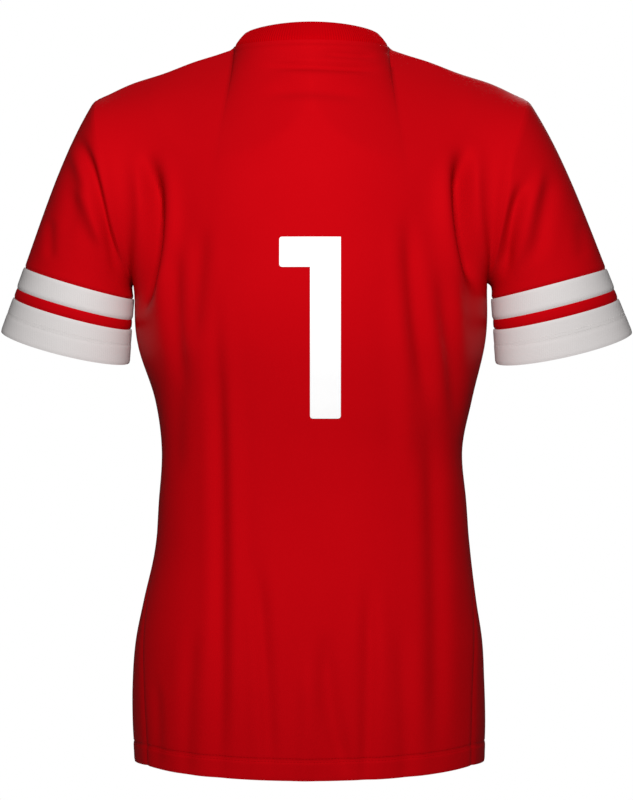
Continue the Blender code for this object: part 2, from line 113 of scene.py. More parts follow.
@dataclass(frozen=True)
class Opening:
    """A ring across a sleeve: outer and inner ends in X and Z, half depth, and the hang of its back
    and front edges."""

    outer_x: float
    outer_z: float
    inner_x: float
    inner_z: float
    half_depth: float
    back_drop: float
    front_drop: float


@dataclass(frozen=True)
class Fold:
    """A trough in the cloth, or a ridge where its depth is negative, between two points of the X-Z
    plane. Lip is the share of its depth that rises on both sides of it."""

    x0: float
    z0: float
    x1: float
    z1: float
    bow: float
    width: float
    depth: float
    lip: float = 0.25


SECTIONS = (
    Section(-725.0, -2.0, 171.0, 117.0, 118.0, 26.0),
    Section(-697.0, -2.0, 171.0, 118.0, 118.0, 26.0),
    Section(-660.0, -2.5, 172.5, 119.0, 118.0, 26.0),
    Section(-620.0, -3.0, 172.0, 118.0, 117.0, 24.0),
    Section(-581.0, -2.5, 169.5, 115.0, 115.0, 20.0),
    Section(-542.0, -1.5, 162.7, 110.0, 112.0, 13.0),
    Section(-493.0, 1.0, 154.3, 102.0, 107.0, 5.0),
    Section(-444.0, 1.0, 150.4, 97.0, 104.0, 0.0),
    Section(-395.0, 0.5, 147.0, 98.0, 105.0, 0.0),
    Section(-346.0, 2.0, 154.3, 105.0, 110.0, 0.0),
    Section(-297.0, 0.0, 165.1, 113.0, 118.0, 0.0),
    Section(-232.0, -0.75, 170.0, 119.0, 124.0, 0.0),
)

SHOULDERS = (
    Shoulder(0.0, -1.0),
    Shoulder(0.12, -6.5),
    Shoulder(0.28, -13.0),
    Shoulder(0.50, -24.0),
    Shoulder(0.75, -35.0),
    Shoulder(1.0, -51.5),
)

ARMHOLES = (
    Armhole(0.0, 171.5, 168.5, 170.0),
    Armhole(0.12, 181.0, 174.0, 175.0),
    Armhole(0.28, 190.0, 180.0, 180.0),
    Armhole(0.46, 196.5, 185.5, 186.0),
    Armhole(0.68, 204.0, 193.0, 192.0),
    Armhole(0.86, 210.0, 204.0, 205.0),
    Armhole(1.0, 212.5, 212.5, 212.5),
)

BANDS = {
    Hand.LEFT: Opening(-281.0, -216.0, -174.5, -247.0, 52.0, 4.0, 0.0),
    Hand.RIGHT: Opening(288.5, -217.5, 176.5, -247.0, 53.0, 2.0, 0.0),
}

CUFFS = {
    Hand.LEFT: Opening(-303.5, -278.5, -179.0, -309.5, 47.0, 9.0, 2.0),
    Hand.RIGHT: Opening(313.5, -279.5, 181.0, -309.5, 48.0, 10.0, 2.0),
}

BACK_FOLDS = (
    Fold(-157.0, -112.0, -168.0, -262.0, 12.0, 8.0, 17.0),
    Fold(-141.0, -150.0, -150.0, -300.0, 4.0, 10.0, -2.5),
    Fold(146.0, -106.0, 162.0, -240.0, -8.0, 8.0, 18.0),
    Fold(126.0, -130.0, 146.0, -300.0, -5.0, 10.0, -3.0),
    Fold(-104.0, -180.0, -113.0, -292.0, 0.0, 8.0, 2.6),
    Fold(-132.0, -196.0, -126.0, -330.0, 0.0, 7.0, 2.8),
    Fold(-120.0, -300.0, -130.0, -420.0, -3.0, 8.0, 1.6),
    Fold(-92.0, -250.0, -88.0, -720.0, 3.0, 7.0, 3.2),
    Fold(-76.0, -300.0, -72.0, -690.0, 2.0, 7.0, -1.6),
    Fold(-52.0, -500.0, -39.0, -700.0, 2.0, 7.0, 3.0),
    Fold(-112.0, -560.0, -118.0, -715.0, -2.0, 7.0, 2.0),
    Fold(92.0, -172.0, 113.0, -352.0, -3.0, 8.0, 4.2),
    Fold(113.0, -345.0, 119.0, -690.0, 3.0, 9.0, 3.4),
    Fold(124.0, -216.0, 140.0, -372.0, 0.0, 7.0, 2.8),
    Fold(78.0, -240.0, 92.0, -420.0, 2.0, 9.0, -1.8),
    Fold(14.0, -570.0, 34.0, -700.0, -6.0, 9.0, 4.0),
    Fold(54.0, -520.0, 50.0, -720.0, 2.0, 7.0, 3.0),
    Fold(84.0, -560.0, 90.0, -720.0, 2.0, 8.0, 2.0),
    Fold(-4.0, -600.0, -8.0, -716.0, 2.0, 8.0, -1.8),
    Fold(-150.0, -612.0, -148.0, -700.0, 2.0, 5.0, 2.0),
    Fold(9.0, -12.0, 62.0, -13.5, -1.5, 3.2, 2.2),
    Fold(-44.0, -24.5, 64.0, -27.0, -1.5, 3.6, 3.0),
    Fold(-44.0, -51.0, 48.0, -54.0, 2.0, 6.0, 2.4),
    Fold(-34.0, -33.0, 58.0, -36.0, 1.0, 6.0, -1.0),
)

FRONT_FOLDS = (
    Fold(-140.0, -120.0, -120.0, -290.0, -8.0, 10.0, 7.0),
    Fold(142.0, -118.0, 118.0, -300.0, 9.0, 10.0, 7.0),
    Fold(-92.0, -300.0, -104.0, -680.0, 4.0, 9.0, 3.6),
    Fold(98.0, -330.0, 88.0, -720.0, 3.0, 8.0, 3.6),
    Fold(-30.0, -540.0, -44.0, -715.0, 2.0, 8.0, 3.4),
    Fold(34.0, -480.0, 45.0, -700.0, -3.0, 9.0, 2.8),
    Fold(-60.0, -150.0, -30.0, -260.0, 4.0, 9.0, 1.8),
    Fold(64.0, -150.0, 30.0, -280.0, -4.0, 10.0, 1.6),
    Fold(-132.0, -560.0, -126.0, -715.0, 2.0, 8.0, 2.2),
    Fold(4.0, -600.0, 8.0, -712.0, 1.0, 8.0, -1.6),
)

SLEEVE_FOLDS = {
    Hand.LEFT: (
        Fold(-226.0, -92.0, -187.0, -224.0, 6.0, 6.0, 6.0),
        Fold(-224.0, -140.0, -203.0, -196.0, 0.0, 6.0, -2.4),
        Fold(-253.0, -170.0, -252.0, -212.0, 0.0, 5.0, 1.4),
        Fold(-236.0, -110.0, -232.0, -190.0, 2.0, 8.0, 1.6),
    ),
    Hand.RIGHT: (
        Fold(203.0, -138.0, 186.0, -224.0, -3.0, 6.0, 7.0),
        Fold(232.0, -130.0, 215.0, -214.0, 0.0, 8.0, 2.0),
        Fold(222.0, -120.0, 203.0, -212.0, 0.0, 6.0, -2.2),
        Fold(262.0, -170.0, 262.0, -212.0, 0.0, 7.0, 1.0),
    ),
}


def smooth(rows: Sequence[Any], along: str, name: str, at: Any) -> np.ndarray:
    """Read one column of a table on a smooth curve through its rows.

    Args:
        rows: The table, ordered by its column along.
        along: Name of the column that places are given in.
        name: Name of the column that is read.
        at: The places.

    Returns:
        The column's value at each place.
    """
    places = np.array([getattr(row, along) for row in rows])
    values = np.array([getattr(row, name) for row in rows])
    slopes = np.gradient(values, places)
    at = np.asarray(at, dtype=float)
    low = np.clip(np.searchsorted(places, at) - 1, 0, len(rows) - 2)
    span = places[low + 1] - places[low]
    t = np.clip((at - places[low]) / span, 0.0, 1.0)
    return hermite(values[low], values[low + 1], slopes[low] * span, slopes[low + 1] * span, t)


def hermite(start: Any, end: Any, start_pull: Any, end_pull: Any, t: Any) -> Any:
    """Cubic curve between two points that leaves and arrives along two pulls.

    Args:
        start: Where the curve starts.
        end: Where it ends.
        start_pull: Direction and force it leaves with.
        end_pull: Direction and force it arrives with.
        t: Share of the way along.

    Returns:
        The point at t.
    """
    return ((2 * t**3 - 3 * t**2 + 1) * start + (t**3 - 2 * t**2 + t) * start_pull
            + (3 * t**2 - 2 * t**3) * end + (t**3 - t**2) * end_pull)


def ease(value: Any, low: float, high: float) -> Any:
    """Rise smoothly from 0 at low to 1 at high.

    Args:
        value: Where to read the rise.
        low: Where it starts.
        high: Where it ends.

    Returns:
        The height of the rise.
    """
    t = np.clip((value - low) / (high - low), 0.0, 1.0)
    return t * t * (3 - 2 * t)


def bump(value: Any, middle: float, width: float) -> Any:
    """A soft bump of height 1 round a middle.

    Args:
        value: Where to read it.
        middle: Its middle.
        width: How far from the middle it has mostly faded.

    Returns:
        The height of the bump.
    """
    return np.exp(-(((value - middle) / width) ** 2))


def unit(vectors: np.ndarray) -> np.ndarray:
    """Vectors of the same directions and of length 1.

    Args:
        vectors: An array whose last axis holds X, Y and Z.

    Returns:
        The array of unit vectors.
    """
    length = np.linalg.norm(vectors, axis=-1, keepdims=True)
    return vectors / np.maximum(length, 1e-9)


def spot(point: np.ndarray) -> tuple[float, ...]:
    """A key that points in the same place share, with an odd shift that keeps round sizes off it.

    Args:
        point: X, Y and Z.

    Returns:
        The key.
    """
    return tuple(np.floor(point * 100.0 + 0.317))


def grid_quads(rows: int, columns: int, closed: bool) -> np.ndarray:
    """Corner numbers of the quads of a grid.

    Args:
        rows: Rows of points.
        columns: Points in a row.
        closed: Whether each row closes into a ring.

    Returns:
        An array of four corners a quad.
    """
    row, column = np.meshgrid(np.arange(rows - 1), np.arange(columns if closed else columns - 1),
                              indexing="ij")
    right = (column + 1) % columns
    corners = (row * columns + column, row * columns + right,
               (row + 1) * columns + right, (row + 1) * columns + column)
    return np.stack([corner.ravel() for corner in corners], axis=1)


@dataclass
class Sheet:
    """A grid of points of a cloth's outer face, ordered so that it faces out."""

    name: str
    points: np.ndarray
    closed: bool
    normals: np.ndarray = field(default_factory=lambda: np.zeros(0))

    def own_normals(self) -> np.ndarray:
        """Outward directions over the sheet, from its own points."""
        if self.closed:
            across = np.roll(self.points, -1, axis=1) - np.roll(self.points, 1, axis=1)
        else:
            across = np.gradient(self.points, axis=1)
        return unit(np.cross(across, np.gradient(self.points, axis=0)))

    def moved(self, depth: np.ndarray) -> None:
        """Press the sheet in by a depth at each point.

        Args:
            depth: How far each point moves against its outward direction.
        """
        self.points = self.points - self.own_normals() * depth[..., None]


def share_normals(sheets: Sequence[Sheet]) -> None:
    """Give every sheet outward directions averaged over the sheets that meet at a seam.

    Args:
        sheets: The sheets that are sewn together.
    """
    total: dict[tuple[float, ...], np.ndarray] = {}
    rims: list[tuple[Sheet, np.ndarray]] = []
    for sheet in sheets:
        rows, columns = sheet.points.shape[:2]
        points = sheet.points.reshape(-1, 3)
        quads = grid_quads(rows, columns, sheet.closed)
        corners = points[quads]
        face = np.cross(corners[:, 2] - corners[:, 0], corners[:, 3] - corners[:, 1])
        summed = np.zeros_like(points)
        for corner in range(4):
            np.add.at(summed, quads[:, corner], face)
        sheet.normals = summed.reshape(sheet.points.shape)
        marks = np.zeros((rows, columns), dtype=bool)
        marks[[0, -1], :] = True
        if not sheet.closed:
            marks[:, [0, -1]] = True
        rims.append((sheet, np.argwhere(marks)))
    for sheet, rim in rims:
        for row, column in rim:
            key = spot(sheet.points[row, column])
            total[key] = total.get(key, np.zeros(3)) + sheet.normals[row, column]
    for sheet, rim in rims:
        for row, column in rim:
            sheet.normals[row, column] = total[spot(sheet.points[row, column])]
        sheet.normals = unit(sheet.normals)


@dataclass(frozen=True)
class Pull:
    """How a torso panel's columns leave the underarm's height, and how they arrive at its top edge."""

    leave: float
    middle: tuple[float, float, float]
    shoulder: tuple[float, float, float]


PULLS = {
    Side.BACK: Pull(300.0, (0.0, 90.0, 120.0), (0.0, 175.0, -6.0)),
    Side.FRONT: Pull(230.0, (0.0, -95.0, 95.0), (0.0, -160.0, 24.0)),
}


@dataclass
class JerseyPattern:
    """The jersey's cut on a general figure: every seam and section, and the sheets between them."""

    underarm_z: float = -232.0
    squareness: float = 2.35
    hem_side_z: float = -697.0
    hem_drop_back: float = 8.0
    hem_drop_front: float = 2.0
    neck_half_width: float = 76.0
    neck_back_y: float = -62.0
    neck_front_y: float = 75.0
    neck_side_z: float = -1.0
    neck_back_rise: float = 1.0
    neck_front_drop: float = 77.0
    neck_share: float = 0.42
    collar_lean: float = 12.0
    collar_back_rise: float = 19.0
    collar_side_rise: float = 14.5
    collar_front_rise: float = 15.5
    shoulder_seam_y: float = 8.0
    armhole_top_z: float = -51.5
    armhole_back_depth: float = 66.0
    armhole_front_depth: float = 70.0
    sleeve_push: float = 22.0
    sleeve_lift: float = 18.0
    band_top: float = 66.0
    neck_cells: int = 70
    shoulder_cells: int = 35
    upper_rows: int = 60
    lower_rows: int = 84
    fine_hem: float = 30.0
    fine_rows: int = 22
    slope_step: float = 12.0
    level_count: int = 140
    section_cells: int = 240

    def neck_point(self, turn: Any, level: Any) -> np.ndarray:
        """Point of the neckline (level 0) or of the collar's top edge (level 1).

        Args:
            turn: Degrees from the middle of the back, to the wearer's right.
            level: Share of the way up the collar.

        Returns:
            The point.
        """
        angle = np.radians(turn)
        back = np.maximum(np.cos(angle), 0.0)
        front = np.maximum(-np.cos(angle), 0.0)
        lean = self.collar_lean * level
        x = (self.neck_half_width - lean) * np.sin(angle)
        y = (self.neck_back_y + lean) * back + (self.neck_front_y - lean) * front
        rise = (self.collar_side_rise + (self.collar_back_rise - self.collar_side_rise) * back**2
                + (self.collar_front_rise - self.collar_side_rise) * front**2)
        z = self.neck_side_z + self.neck_back_rise * back**2 - self.neck_front_drop * front**1.25
        return np.stack([x, y, z + rise * level], axis=-1)

    def armhole_point(self, hand: Hand, turn: Any) -> np.ndarray:
        """Point of an armhole seam.

        Args:
            hand: Which armhole.
            turn: Degrees from the shoulder, 90 at the back and -90 at the front.

        Returns:
            The point.
        """
        angle = np.radians(turn)
        share = (1.0 + np.cos(angle)) / 2.0
        behind = smooth(ARMHOLES, "share", f"{hand.word}_back", share)
        ahead = smooth(ARMHOLES, "share", "front", share)
        mix = ease(np.sin(angle), -0.35, 0.35)
        x = hand.value * (behind * mix + ahead * (1.0 - mix))
        depth = np.where(np.sin(angle) > 0, self.armhole_back_depth, self.armhole_front_depth)
        y = self.shoulder_seam_y * share - depth * np.sin(angle)
        z = self.underarm_z + (self.armhole_top_z - self.underarm_z) * share
        return np.stack([x, y, z], axis=-1)

    def shoulder_point(self, hand: int, share: float) -> np.ndarray:
        """Point of a shoulder seam.

        Args:
            hand: -1 for the left and 1 for the right.
            share: Share of the way from the neck to the armhole.

        Returns:
            The point.
        """
        neck = self.neck_point(90.0, 0.0)
        end = self.armhole_point(Hand.RIGHT, 0.0)
        x = hand * (neck[0] + (end[0] - neck[0]) * share)
        y = neck[1] + (end[1] - neck[1]) * ease(share, 0.0, 0.7)
        return np.stack([x, y, smooth(SHOULDERS, "share", "z", share)], axis=-1)

    def hem_z(self, side: Side, across: float) -> float:
        """Height of the hem.

        Args:
            side: Front or back.
            across: Place across the panel, from -1 to 1.

        Returns:
            The height.
        """
        drop = self.hem_drop_back if side is Side.BACK else self.hem_drop_front
        return self.hem_side_z - drop * (1.0 - across**2)

    def section_point(self, side: Side, across: np.ndarray, z: float) -> np.ndarray:
        """Points of the lower torso at a height.

        Args:
            side: Front or back.
            across: Places across the panel, evenly spaced along the cloth.
            z: The height.

        Returns:
            The points.
        """
        back = side is Side.BACK
        swing = np.radians(smooth(SECTIONS, "z", "swing", z))
        first = swing if back else -swing
        angles = np.linspace(first, np.pi - first, self.section_cells + 1)
        power = 2.0 / self.squareness
        x = np.sign(np.cos(angles)) * np.abs(np.cos(angles)) ** power
        y = np.sign(np.sin(angles)) * np.abs(np.sin(angles)) ** power
        x = smooth(SECTIONS, "z", "centre", z) + smooth(SECTIONS, "z", "half_width", z) * x
        own = smooth(SECTIONS, "z", side.value, z)
        other = smooth(SECTIONS, "z", "front" if back else "back", z)
        reach = np.where(y < 0, y * other, y * own)
        y = -reach if back else reach
        run = np.concatenate([[0.0], np.cumsum(np.hypot(np.diff(x), np.diff(y)))])
        at = run[-1] * (1.0 - across) / 2.0
        return np.stack([np.interp(at, run, x), np.interp(at, run, y), np.full_like(at, z)], axis=-1)

    def top_edge(self, side: Side, across: np.ndarray) -> np.ndarray:
        """Top edge of a torso panel: shoulder seam, neckline, shoulder seam.

        Args:
            side: Front or back.
            across: Places across the panel.

        Returns:
            The points.
        """
        points = []
        for place in across:
            reach = abs(place)
            if reach <= self.neck_share:
                turn = 90.0 * place / self.neck_share
                points.append(self.neck_point(turn if side is Side.BACK else 180.0 - turn, 0.0))
            else:
                share = (reach - self.neck_share) / (1.0 - self.neck_share)
                points.append(self.shoulder_point(1 if place > 0 else -1, share))
        return np.array(points)

    def lower_rows_of(self, side: Side, across: np.ndarray) -> list[np.ndarray]:
        """Rows of the lower torso from the hem to just under the underarm.

        Args:
            side: Front or back.
            across: Places across the panel.

        Returns:
            The rows.
        """
        heights = np.linspace(self.hem_side_z - self.hem_drop_back, self.underarm_z, self.level_count)
        levels = np.array([self.section_point(side, across, z) for z in heights])
        hems = np.array([self.hem_z(side, place) for place in across])
        rows = []
        fine = self.fine_hem / (self.underarm_z - self.hem_side_z)
        steps = np.concatenate([np.linspace(0.0, fine, self.fine_rows + 1)[:-1],
                                np.linspace(fine, 1.0, self.lower_rows + 1)[:-1]])
        for step in steps:
            z = hems + (self.underarm_z - hems) * step
            x = [np.interp(z[i], heights, levels[:, i, 0]) for i in range(len(across))]
            y = [np.interp(z[i], heights, levels[:, i, 1]) for i in range(len(across))]
            rows.append(np.stack([x, y, z], axis=-1))
        return rows

    def torso(self, side: Side) -> tuple[Sheet, np.ndarray]:
        """The smooth sheet of a torso panel.

        Args:
            side: Front or back.

        Returns:
            The sheet, with columns from the left to the right, and its places across.
        """
        shoulder = np.linspace(self.neck_share, 1.0, self.shoulder_cells + 1)
        neck = np.linspace(-self.neck_share, self.neck_share, self.neck_cells + 1)
        across = np.concatenate([-shoulder[:0:-1], neck, shoulder[1:]])
        rows = self.lower_rows_of(side, across)
        base = self.section_point(side, across, self.underarm_z)
        below = self.section_point(side, across, self.underarm_z - self.slope_step)
        top = self.top_edge(side, across)
        pull = PULLS[side]
        rise = (base - below) / self.slope_step * pull.leave
        outward = ease(np.abs(across)[:, None], 0.05, 0.5)
        arrive = np.array(pull.middle) * (1.0 - outward) + np.array(pull.shoulder) * outward
        turn = 180.0 if side is Side.BACK else -180.0
        for step in np.linspace(0.0, 1.0, self.upper_rows + 1):
            row = hermite(base, top, rise, arrive, step)
            for hand, column in ((Hand.LEFT, 0), (Hand.RIGHT, -1)):
                seam = self.armhole_point(hand, turn * (1.0 - step))
                share = np.where(np.sign(across) == hand.value, np.abs(across), 0.0)[:, None]
                row = row + share**4 * (seam - row[column])
            rows.append(row)
        return Sheet(f"{side.value}_panel", np.array(rows), False), across

    def opening_point(self, opening: Opening, turn: np.ndarray) -> np.ndarray:
        """Point of a ring across a sleeve.

        Args:
            opening: The ring.
            turn: Degrees round it, as on the armhole.

        Returns:
            The points.
        """
        angle = np.radians(turn)
        half_x = (opening.outer_x - opening.inner_x) / 2
        half_z = (opening.outer_z - opening.inner_z) / 2
        x = (opening.outer_x + opening.inner_x) / 2 + half_x * np.cos(angle)
        z = (opening.outer_z + opening.inner_z) / 2 + half_z * np.cos(angle)
        z = z - opening.back_drop * np.maximum(np.sin(angle), 0.0)
        z = z - opening.front_drop * np.maximum(-np.sin(angle), 0.0)
        return np.stack([x, -opening.half_depth * np.sin(angle), z], axis=-1)

    def turns(self, hand: Hand) -> np.ndarray:
        """Turns round a sleeve, ordered so that its sheet faces out."""
        cells = 2 * self.upper_rows
        return hand.value * np.arange(cells) * 360.0 / cells

    def sleeve(self, hand: Hand, rows: int) -> Sheet:
        """The red part of a sleeve, a row per ring from the armhole to its first band.

        Args:
            hand: Which sleeve.
            rows: Cells along it.

        Returns:
            The sheet.
        """
        turns = self.turns(hand)
        start = self.armhole_point(hand, turns)
        end = self.opening_point(BANDS[hand], turns)
        chord = end - start
        leave = chord + np.array([hand.value * self.sleeve_push, 0.0, self.sleeve_lift])
        onward = unit(self.opening_point(CUFFS[hand], turns) - end)
        arrive = onward * np.linalg.norm(chord, axis=-1, keepdims=True)
        points = [hermite(start, end, leave, arrive, step) for step in np.linspace(0.0, 1.0, rows + 1)]
        return Sheet(f"sleeve_{hand.word}", np.array(points), True)

    def band(self, hand: Hand, name: str, heights: np.ndarray) -> Sheet:
        """A band of a sleeve between heights measured up from the cuff's edge.

        Args:
            hand: Which sleeve.
            name: The band's name.
            heights: Heights of its rows, from the top down.

        Returns:
            The sheet.
        """
        turns = self.turns(hand)
        low = self.opening_point(CUFFS[hand], turns)
        high = self.opening_point(BANDS[hand], turns)
        points = [low + (high - low) * height / self.band_top for height in heights]
        return Sheet(f"{name}_{hand.word}", np.array(points), True)


def fold_depth(folds: Sequence[Fold], x: np.ndarray, z: np.ndarray) -> np.ndarray:
    """How deep the folds press the cloth in.

    Args:
        folds: The folds.
        x: Places along X.
        z: Places along Z.

    Returns:
        The depth at each place.
    """
    depth = np.zeros_like(x)
    for fold in folds:
        run = np.hypot(fold.x1 - fold.x0, fold.z1 - fold.z0)
        along_x = (fold.x1 - fold.x0) / run
        along_z = (fold.z1 - fold.z0) / run
        along = ((x - fold.x0) * along_x + (z - fold.z0) * along_z) / run
        aside = (z - fold.z0) * along_x - (x - fold.x0) * along_z
        held = np.clip(along, 0.0, 1.0)
        aside = (aside - fold.bow * 4.0 * held * (1.0 - held)) / fold.width
        fade = ease(along, -0.08, 0.25) * (1.0 - ease(along, 0.75, 1.08))
        shape = np.exp(-(aside**2)) - fold.lip * np.exp(-((np.abs(aside) - 1.9) ** 2))
        depth = depth + fold.depth * fade * shape
    return depth


def linear(code: str) -> tuple[float, float, float, float]:
    """Linear colour of an sRGB hex code.

    Args:
        code: Six hex digits.

    Returns:
        Red, green, blue and alpha.
    """
    parts = [int(code[i:i + 2], 16) / 255.0 for i in (0, 2, 4)]
    red, green, blue = [p / 12.92 if p <= 0.04045 else ((p + 0.055) / 1.055) ** 2.4 for p in parts]
    return red, green, blue, 1.0


def add_node(tree: bpy.types.NodeTree, kind: str, settings: dict[str, Any] | None = None,
             links: dict[Any, Any] | None = None) -> bpy.types.Node:
    """Add a node with its settings and the links into it.

    Args:
        tree: The tree it goes in.
        kind: Its type.
        settings: Input names or numbers, or attribute names, and their values.
        links: Input names or numbers and the sockets that feed them.

    Returns:
        The node.
    """
    node = tree.nodes.new(kind)
    for name, value in (settings or {}).items():
        if isinstance(name, str) and hasattr(node, name):
            setattr(node, name, value)
        else:
            node.inputs[name].default_value = value
    for name, source in (links or {}).items():
        tree.links.new(source, node.inputs[name])
    return node


# Real sizes of the cloth's patterns, in millimetres
WALE = 1.848               # from one knit column to the next
YARN_GRAIN = 10.0 / 7.0    # one loop's light and dark
DYE_PATCH = 500.0 / 7.0    # one patch of slightly uneven dye
RELIEF = 0.4               # how far the loops stand up


@dataclass(frozen=True)
class ClothFinish:
    """A cloth's finish: two close sRGB colours that it varies between, its gloss and the tint of its
    shine, its weave and how strongly the loops stand out."""

    name: str
    colour: str
    shade: str
    roughness: float
    specular: float
    sheen: float
    tint: str
    weave: Weave
    grain: float = 0.12
    smoother: float = 0.05
    rougher: float = 0.07
    wale_share: float = 0.35

    def build(self) -> bpy.types.Material:
        """Make the finish's material on object coordinates.

        Returns:
            The material.
        """
        made = bpy.data.materials.new(self.name)
        made.use_nodes = True
        tree = made.node_tree
        shader = tree.nodes["Principled BSDF"]
        shader.inputs["Specular IOR Level"].default_value = self.specular
        shader.inputs["Sheen Weight"].default_value = self.sheen
        shader.inputs["Sheen Roughness"].default_value = 0.45
        shader.inputs["Sheen Tint"].default_value = linear(self.tint)
        shader.inputs["Specular Tint"].default_value = linear(self.tint)
        place = add_node(tree, "ShaderNodeTexCoord").outputs["Object"]
        patches = add_node(tree, "ShaderNodeTexNoise", {"Scale": 1.0 / (DYE_PATCH * MM), "Detail": 3.0},
                           {"Vector": place})
        tone = add_node(tree, "ShaderNodeMix", {"data_type": "RGBA"}, {0: patches.outputs["Fac"]})
        tone.inputs[6].default_value = linear(self.shade)
        tone.inputs[7].default_value = linear(self.colour)
        tree.links.new(tone.outputs[2], shader.inputs["Base Color"])
        fine = add_node(tree, "ShaderNodeTexNoise", {"Scale": 1.0 / (YARN_GRAIN * MM), "Detail": 2.0},
                        {"Vector": place})
        spread = {"To Min": self.roughness - self.smoother, "To Max": self.roughness + self.rougher}
        gloss = add_node(tree, "ShaderNodeMapRange", spread, {"Value": fine.outputs["Fac"]})
        tree.links.new(gloss.outputs["Result"], shader.inputs["Roughness"])
        height = fine.outputs["Fac"]
        if self.weave is not Weave.FILM:
            # A wave texture of scale 1 has a band every 2 pi / 20
            scale = 2.0 * np.pi / 20.0 / (WALE * MM)
            wales = add_node(tree, "ShaderNodeTexWave", {"Scale": scale, "Distortion": 1.5, "Detail": 1.0},
                             {"Vector": place})
            height = add_node(tree, "ShaderNodeMath", {"operation": "MULTIPLY_ADD", 1: self.wale_share},
                              {0: wales.outputs["Fac"], 2: fine.outputs["Fac"]}).outputs[0]
        relief = add_node(tree, "ShaderNodeBump", {"Strength": self.grain, "Distance": RELIEF * MM},
                          {"Height": height})
        tree.links.new(relief.outputs["Normal"], shader.inputs["Normal"])
        return made


# Satin polyester interlock, dyed red: smooth face with a soft sheen
RED_KNIT = ClothFinish("red_polyester_interlock", "bd060f", "b6040d", 0.50, 0.12, 0.0, "ff1a18",
                       Weave.INTERLOCK)
# The same yarn as a thicker 1x1 rib
RED_RIB = ClothFinish("red_rib_knit", "bb0009", "b00007", 0.60, 0.20, 0.05, "ff1a18", Weave.RIB)
# Undyed polyester interlock
WHITE_KNIT = ClothFinish("white_polyester_interlock", "d9d5d4", "d0cbca", 0.62, 0.25, 0.0, "ffffff",
                         Weave.INTERLOCK, 0.35)
# Heat-applied matt film
WHITE_FILM = ClothFinish("white_matt_film", "ffffff", "fbfbfb", 0.55, 0.3, 0.0, "ffffff", Weave.FILM, 0.05)
# Twisted polyester sewing thread, in the cloth's own two colours
RED_THREAD = ClothFinish("red_sewing_thread", "a80009", "9a0007", 0.5, 0.25, 0.03, "ff1a18", Weave.RIB)
WHITE_THREAD = ClothFinish("white_sewing_thread", "dedbd8", "cfccc9", 0.5, 0.35, 0.1, "ffffff", Weave.RIB)


SHARP_ANGLE = 60.0         # degrees; edges that turn more than this stay crisp


def shell(name: str, outer: np.ndarray, inner: np.ndarray, quads: np.ndarray,
          finish: bpy.types.Material) -> bpy.types.Object:
    """A closed thin wall between an outer and an inner copy of some quads.

    Args:
        name: The piece's name.
        outer: Points of the outer face, in millimetres.
        inner: Points of the inner face, in the same order.
        quads: Four corners a quad.
        finish: The piece's material.

    Returns:
        The piece.
    """
    count = len(outer)
    edges = np.concatenate([quads[:, [i, (i + 1) % 4]] for i in range(4)])
    known = {tuple(edge) for edge in edges.tolist()}
    rims = [(b, a, count + a, count + b) for a, b in edges.tolist() if (b, a) not in known]
    faces = np.concatenate([quads, quads[:, ::-1] + count, np.array(rims)])
    mesh = bpy.data.meshes.new(name)
    mesh.from_pydata((np.concatenate([outer, inner]) * MM).tolist(), [], faces.tolist())
    mesh.update()
    mesh.shade_smooth()
    mesh.set_sharp_from_angle(angle=np.radians(SHARP_ANGLE))
    mesh.materials.append(finish)
    piece = bpy.data.objects.new(name, mesh)
    bpy.context.scene.collection.objects.link(piece)
    return piece


def seat(piece: bpy.types.Object, slot: str, *nodes: str) -> None:
    """Attach a finished piece to the root body and hide the CAD nodes it stands for.

    Args:
        piece: The piece.
        slot: Not used.
        nodes: The CAD nodes it stands for.
    """
    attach(piece, "root")
    if nodes:
        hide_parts(*nodes)
    LOG.info("%s: %d faces", piece.name, len(piece.data.polygons))


